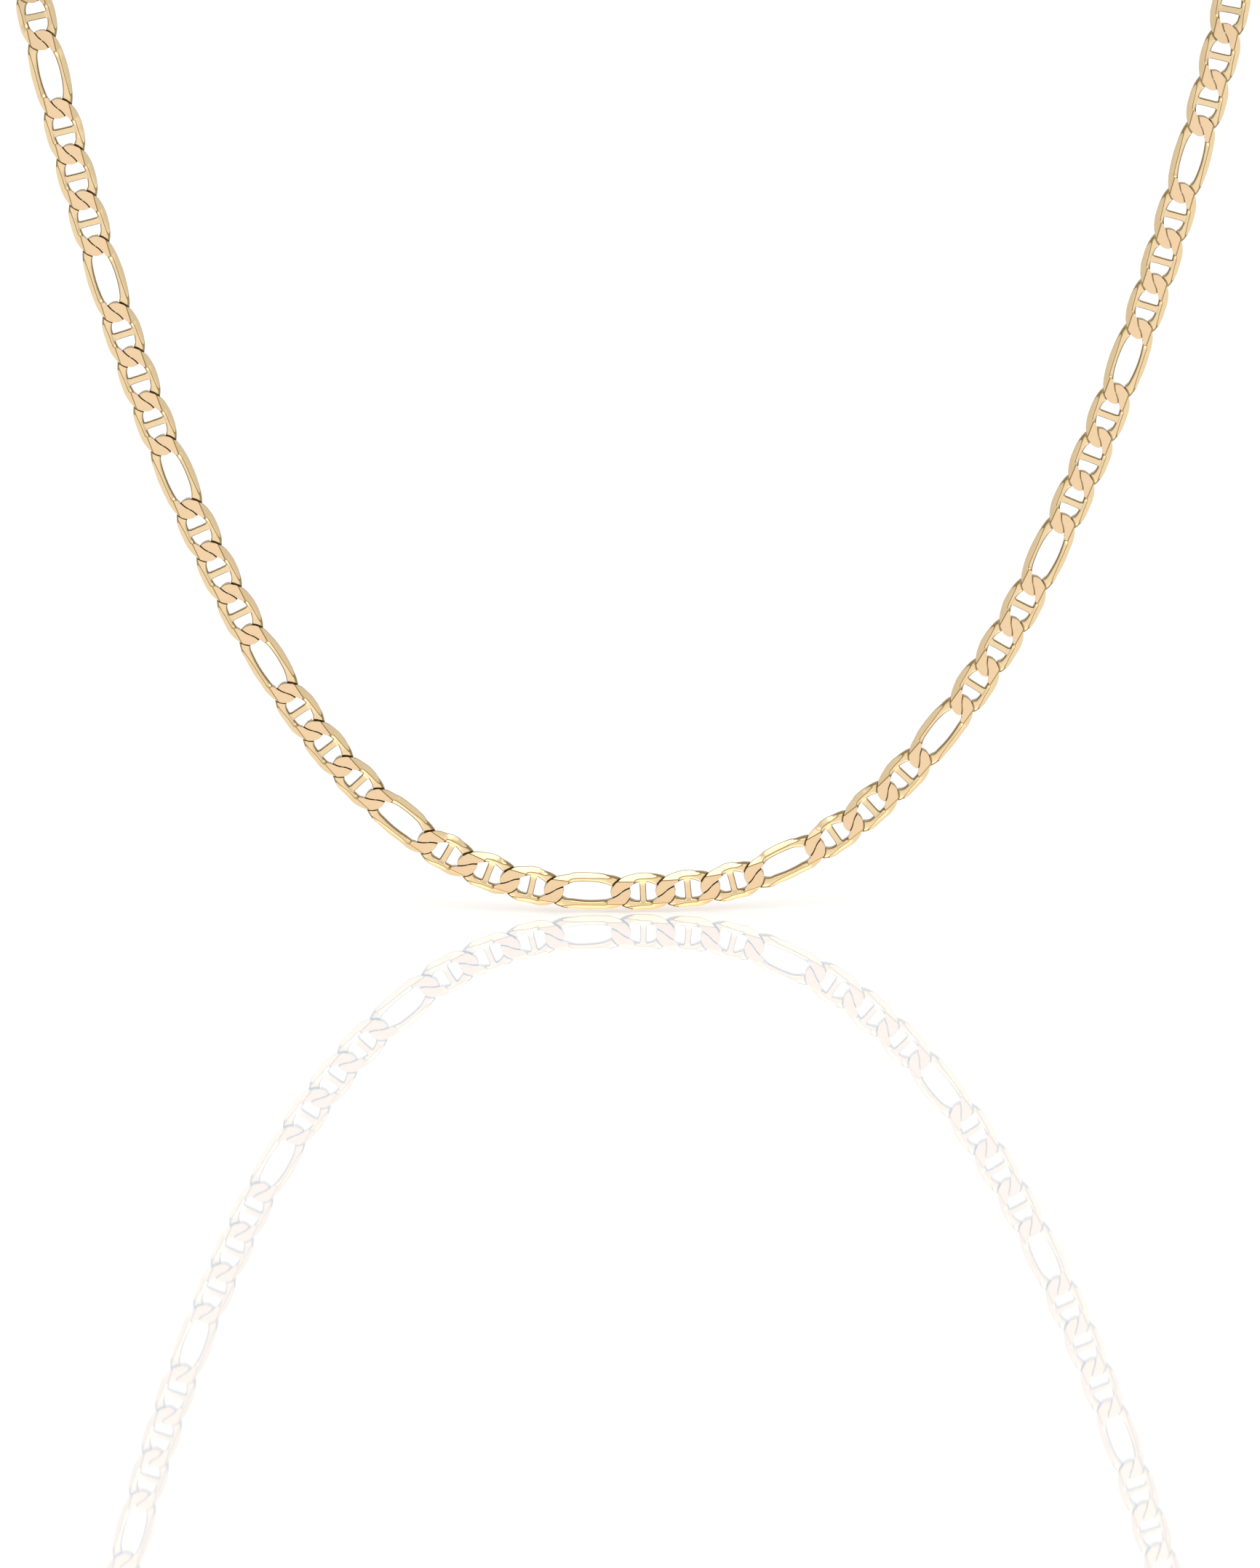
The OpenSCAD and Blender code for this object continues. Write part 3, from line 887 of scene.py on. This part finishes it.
def gold_material(finish):
    """Polished yellow gold with fine polishing marks. The cut faces are rosier than the bevels and
    the lit wire, and where a face's unshaded share is low the gold gets a dark painted shade and
    is rougher."""
    material = bpy.data.materials.new("polished_gold")
    shader = Shader(material)
    place = shader.node("ShaderNodeTexCoord", output="Object")
    unshaded = shader.node("ShaderNodeAttribute", {"attribute_name": "unshaded"}, output="Fac")
    marks = shader.node("ShaderNodeTexNoise", {}, {
        "Vector": place, "Scale": 1 / finish.grain, "Detail": GRAIN_DETAIL,
        "Roughness": GRAIN_ROUGHNESS,
    })
    cut = shader.node("ShaderNodeAttribute", {"attribute_name": "cut"}, output="Fac")
    polished = shader.mix(cut, opaque(finish.bevel_and_wire_color), opaque(finish.face_color))
    # Painted shade: where a face's unshaded share is low, its gold turns to the dark shade colour
    color = shader.mix(unshaded, opaque(finish.painted_shade_color), polished)
    smoother = finish.face_roughness - finish.wire_roughness
    roughness = finish.wire_roughness + unshaded * smoother + (marks - 0.5) * GRAIN_SPREAD
    bump = shader.node("ShaderNodeBump", {}, {
        "Strength": GRAIN_STRENGTH, "Distance": finish.grain_depth, "Height": marks,
    })
    surface = shader.node("ShaderNodeBsdfPrincipled", {}, {
        "Base Color": color, "Metallic": 1.0, "Roughness": roughness, "Normal": bump,
    })
    shader.node("ShaderNodeOutputMaterial", {}, {"Surface": surface})
    return material


# Clasp and jump rings

# Steps round a jump ring and round the clasp's eye, and sides of their wires
RING_STEPS, RING_SIDES = 96, 32
EYE_STEPS, EYE_SIDES = 64, 24
# Steps round the clasp's opening, and round each edge of its section
CLASP_STEPS = 144
EDGE_STEPS = 6


def torus(outer, wire, steps, sides):
    """A ring about Z: a circle of the wire's size carried round a circle."""
    turn = np.linspace(0, FULL_TURN, steps, endpoint=False)[:, None]
    a = np.linspace(0, FULL_TURN, sides, endpoint=False)[None, :]
    reach = (outer - wire) / 2 + wire / 2 * np.cos(a)
    up = wire / 2 * np.sin(a) + 0 * turn
    points = np.stack((reach * np.cos(turn), reach * np.sin(turn), up), -1)
    return points.reshape(-1, 3), grid_faces(steps, sides).reshape(-1, 4)[:, ::-1]


def make_ring(layout, name, node, start, end, shift, turn, material):
    """A jump ring nearly on edge, across the clasp and the end of the chain."""
    sizes = layout.findings
    points, faces = torus(sizes.ring, sizes.ring_wire, RING_STEPS, RING_SIDES)
    points = points @ np.array(Matrix.Rotation(QUARTER_TURN + turn, 3, "X")).T
    middle, rows, _ = layout.place(start, end)
    points = middle + (points + (shift, 0, 0)) @ rows[0]
    ring = make_piece(name, points, faces, material)
    set_finish(ring, unshaded=1, cut=0)
    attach(ring, "root")
    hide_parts(node)


def stadium_radius(direction, centre, long_side, width):
    """Distance from a point on a stadium's long axis to its outline in each direction:
    r sin t is half the width along the straight sides, and beyond them
    r = c cos t + sqrt(w^2 - (c sin t)^2), where c reaches to the middle of the round end
    and w is half the width."""
    flat = (long_side - width) / 2
    sine, cosine = np.sin(direction), np.cos(direction)
    straight = width / 2 / np.maximum(np.abs(sine), TINY)
    end = np.sign(cosine) * flat - centre
    rounded = end * cosine + np.sqrt(np.maximum(width**2 / 4 - (end * sine) ** 2, 0))
    return np.where(np.abs(centre + straight * cosine) <= flat, straight, rounded)


def clasp_body(sizes, long_side):
    """The clasp's body: a flat ring whose section, a rectangle with round edges, reaches
    from the opening's outline to the body's own outline."""
    opening_x = sizes.clasp_rim + sizes.clasp_open / 2 - long_side / 2
    direction = np.linspace(0, FULL_TURN, CLASP_STEPS, endpoint=False) - math.pi
    inner = stadium_radius(direction, 0, sizes.clasp_open, sizes.clasp_width - 2 * sizes.clasp_rim)
    outer = stadium_radius(direction, opening_x, long_side, sizes.clasp_width)
    edge, top = sizes.clasp_edge, sizes.clasp_thickness / 2
    quarter = np.linspace(0, QUARTER_TURN, EDGE_STEPS + 1)
    from_wall, below_top = edge * (1 - np.cos(quarter)), edge * (1 - np.sin(quarter))
    upper = np.concatenate((inner[:, None] + from_wall, outer[:, None] - from_wall[::-1]), 1)
    height = top - np.concatenate((below_top, below_top[::-1]))
    reach = np.concatenate((upper, upper[:, ::-1]), 1)
    height = np.concatenate((height, -height[::-1])) + 0 * reach
    x = opening_x + reach * np.cos(direction)[:, None]
    y = reach * np.sin(direction)[:, None]
    points = np.stack((x, y, height), -1)
    return points.reshape(-1, 3), grid_faces(CLASP_STEPS, reach.shape[1]).reshape(-1, 4)


def make_clasp(layout, material):
    """The clasp: its body and its eye, fused."""
    sizes, gap = layout.findings, layout.findings.gap
    eye_x = sizes.clasp_pitch / 2 + seat(sizes.eye_wire, sizes.ring_wire, gap)
    eye_x -= (sizes.eye_hole + sizes.eye_wire) / 2
    tip_x = -sizes.clasp_pitch / 2 - seat(sizes.clasp_rim, sizes.ring_wire, gap)
    tip_x -= sizes.clasp_rim / 2
    heel_x = eye_x - sizes.eye_hole / 2
    body, body_faces = clasp_body(sizes, heel_x - tip_x)
    body = body + ((heel_x + tip_x) / 2, 0, 0)
    eye_size = sizes.eye_hole + 2 * sizes.eye_wire
    eye, eye_faces = torus(eye_size, sizes.eye_wire, EYE_STEPS, EYE_SIDES)
    eye = eye + (eye_x, 0, 0)
    middle, rows, _ = layout.place(layout.clasp_right, layout.loop + layout.clasp_left)
    clasp = make_piece("clasp_body", middle + body @ rows[0], body_faces, material)
    loop = make_piece("clasp_eye", middle + eye @ rows[0], eye_faces, material)
    apply_boolean(clasp, loop, "UNION")
    shade(clasp.data, False, CLASP_SHARP_EDGE)
    set_finish(clasp, unshaded=1, cut=0)
    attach(clasp, "root")
    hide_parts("clasp")


# Stage

# The point of the chain's front plane that the photograph shows in its middle column, the
# row in pixels where it shows it, the photograph's height in pixels, and the size of a
# pixel at that point
SIGHT_POINT = (-1.0 * MM, -71.95 * MM, -126.0 * MM)
SIGHT_ROW = 1245
PHOTO_HEIGHT = 2156
PIXEL_SIZE = 0.0784 * MM
# Height of the camera's sensor in Blender's millimetres, and its nearest and farthest view
SENSOR_HEIGHT = 24
NEAREST, FARTHEST = 0.01, 50


def floor_material(stage):
    """A pale, glossy sheet."""
    material = bpy.data.materials.new("pale_floor")
    shader = Shader(material)
    sheet = shader.node("ShaderNodeBsdfDiffuse", {}, {"Color": opaque(stage.floor_color)})
    gloss = shader.node("ShaderNodeBsdfGlossy", {}, {
        "Color": opaque(stage.floor_gloss), "Roughness": stage.floor_roughness,
    })
    both = shader.node("ShaderNodeAddShader", {}, {0: sheet, 1: gloss})
    shader.node("ShaderNodeOutputMaterial", {}, {"Surface": both})
    return material


def make_floor(stage):
    """A square floor just under the lowest link."""
    half = stage.floor_size / 2
    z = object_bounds()[0][2] - stage.floor_gap
    corners = [(-half, -half, z), (half, -half, z), (half, half, z), (-half, half, z)]
    floor = make_piece("floor", corners, [(0, 1, 2, 3)], floor_material(stage))
    floor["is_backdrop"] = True


def make_camera(stage):
    """A camera that looks down by the pitch and shows the sight point in its own row."""
    pitch, roll = stage.view_pitch, stage.view_roll
    ahead = Vector((0, math.cos(pitch), -math.sin(pitch)))
    level = Vector((1, 0, 0))
    rise = Vector((0, math.sin(pitch), math.cos(pitch)))
    right = math.cos(roll) * level + math.sin(roll) * rise
    up = -math.sin(roll) * level + math.cos(roll) * rise
    below = (SIGHT_ROW - PHOTO_HEIGHT / 2) * PIXEL_SIZE
    eye = Vector(SIGHT_POINT) + below * up - stage.view_distance * ahead
    data = bpy.data.cameras.new("camera")
    data.sensor_fit = "VERTICAL"
    data.sensor_height = SENSOR_HEIGHT
    data.lens = SENSOR_HEIGHT * stage.view_distance / (PIXEL_SIZE * PHOTO_HEIGHT)
    data.clip_start, data.clip_end = NEAREST, FARTHEST
    camera = bpy.data.objects.new("camera", data)
    turned = Matrix((right, up, -ahead)).transposed()
    camera.matrix_world = Matrix.Translation(eye) @ turned.to_4x4()
    bpy.context.scene.collection.objects.link(camera)
    bpy.context.scene.camera = camera


# Brightness of the tent in front and behind, at its sides and at the panel
TENT, SIDES, PANEL = 0.9, 0.84, 2.2
# How far a direction goes sideways, of one, where the sides begin and where they are full
SIDES_EDGE = (0.5, 0.85)
# The direction of the panel's middle as seen from the chain, and the cosines of the angles
# from it where the panel begins and where it is full
PANEL_AT = (0, -0.64, 0.768)
PANEL_EDGE = (0.83, 0.93)


def make_world():
    """A soft tent, darker at both sides, with a bright panel above the camera."""
    world = bpy.data.worlds.new("tent")
    bpy.context.scene.world = world
    shader = Shader(world)
    direction = shader.node("ShaderNodeTexCoord", output="Generated")
    across = shader.node("ShaderNodeSeparateXYZ", {}, {"Vector": direction}, output="X")
    tent = shader.blend(abs(across), SIDES_EDGE, TENT, SIDES)
    towards = shader.node(
        "ShaderNodeVectorMath", {"operation": "DOT_PRODUCT"}, {0: direction, 1: PANEL_AT},
        output="Value",
    )
    panel = shader.blend(towards, PANEL_EDGE, 0.0, PANEL - TENT)
    light = shader.node("ShaderNodeBackground", {}, {
        "Color": (1, 1, 1, 1), "Strength": tent + panel,
    })
    shader.node("ShaderNodeOutputWorld", {}, {"Surface": light})


# Operators and panel


def layout_and_gold(scene):
    """The layout that the scene's sizes give, and the gold of its finish."""
    layout = Layout(scene.necklace_links, scene.necklace_findings)
    return layout, gold_material(scene.necklace_gold)


class NECKLACE_OT_chain(bpy.types.Operator):
    """Makes both halves of the chain from cut gold links"""

    bl_idname = "necklace.chain"
    bl_label = "Make the chain"

    def execute(self, context):
        layout, gold = layout_and_gold(context.scene)
        left, right = layout.numbers[layout.numbers < 0], layout.numbers[layout.numbers >= 0]
        make_half(layout, "links_left", "chain_left", left, gold)
        make_half(layout, "links_right", "chain_right", right, gold)
        return {"FINISHED"}


class NECKLACE_OT_jump_rings(bpy.types.Operator):
    """Makes the two jump rings that join the chain to its clasp"""

    bl_idname = "necklace.jump_rings"
    bl_label = "Make the jump rings"

    def execute(self, context):
        layout, gold = layout_and_gold(context.scene)
        turn = layout.findings.ring_turn
        make_ring(layout, "ring_left", "jump_ring_left", layout.clasp_left, layout.joints[0],
                  layout.left_ring_shift, turn, gold)
        make_ring(layout, "ring_right", "jump_ring_right", layout.joints[-1],
                  layout.clasp_right, layout.right_ring_shift, -turn, gold)
        return {"FINISHED"}


class NECKLACE_OT_clasp(bpy.types.Operator):
    """Makes the plain clasp"""

    bl_idname = "necklace.clasp"
    bl_label = "Make the clasp"

    def execute(self, context):
        make_clasp(*layout_and_gold(context.scene))
        return {"FINISHED"}


class NECKLACE_OT_stage(bpy.types.Operator):
    """Sets the pale floor, the soft light and the camera"""

    bl_idname = "necklace.stage"
    bl_label = "Set the stage"

    def execute(self, context):
        stage = context.scene.necklace_stage
        make_floor(stage)
        make_camera(stage)
        make_world()
        context.scene.view_settings.view_transform = "Standard"
        return {"FINISHED"}


class NECKLACE_PT_sidebar(bpy.types.Panel):
    """The necklace's operators and sizes"""

    bl_label = "Figaro chain necklace"
    bl_space_type = "VIEW_3D"
    bl_region_type = "UI"
    bl_category = "Necklace"

    def draw(self, context):
        for operator in OPERATORS:
            self.layout.operator(operator.bl_idname)
        for name in GROUPS:
            box = self.layout.box()
            group = getattr(context.scene, name)
            for key in group.bl_rna.properties.keys():
                if key not in ("rna_type", "name"):
                    box.prop(group, key)


OPERATORS = (NECKLACE_OT_chain, NECKLACE_OT_jump_rings, NECKLACE_OT_clasp, NECKLACE_OT_stage)
GROUPS = {
    "necklace_links": LinkSizes,
    "necklace_findings": FindingSizes,
    "necklace_gold": GoldFinish,
    "necklace_stage": StudioStage,
}


def register():
    """Adds the classes and one group of properties of each kind to the scene."""
    for kind in (*GROUPS.values(), *OPERATORS, NECKLACE_PT_sidebar):
        bpy.utils.register_class(kind)
    for name, kind in GROUPS.items():
        setattr(bpy.types.Scene, name, bpy.props.PointerProperty(type=kind))


def unregister():
    """Takes away all that register() added."""
    for name in GROUPS:
        delattr(bpy.types.Scene, name)
    for kind in (NECKLACE_PT_sidebar, *reversed(OPERATORS), *GROUPS.values()):
        bpy.utils.unregister_class(kind)


def main():
    """Makes every piece in order."""
    register()
    bpy.ops.necklace.stage()
    bpy.ops.necklace.chain()
    bpy.ops.necklace.jump_rings()
    bpy.ops.necklace.clasp()


if __name__ == "__main__":
    main()
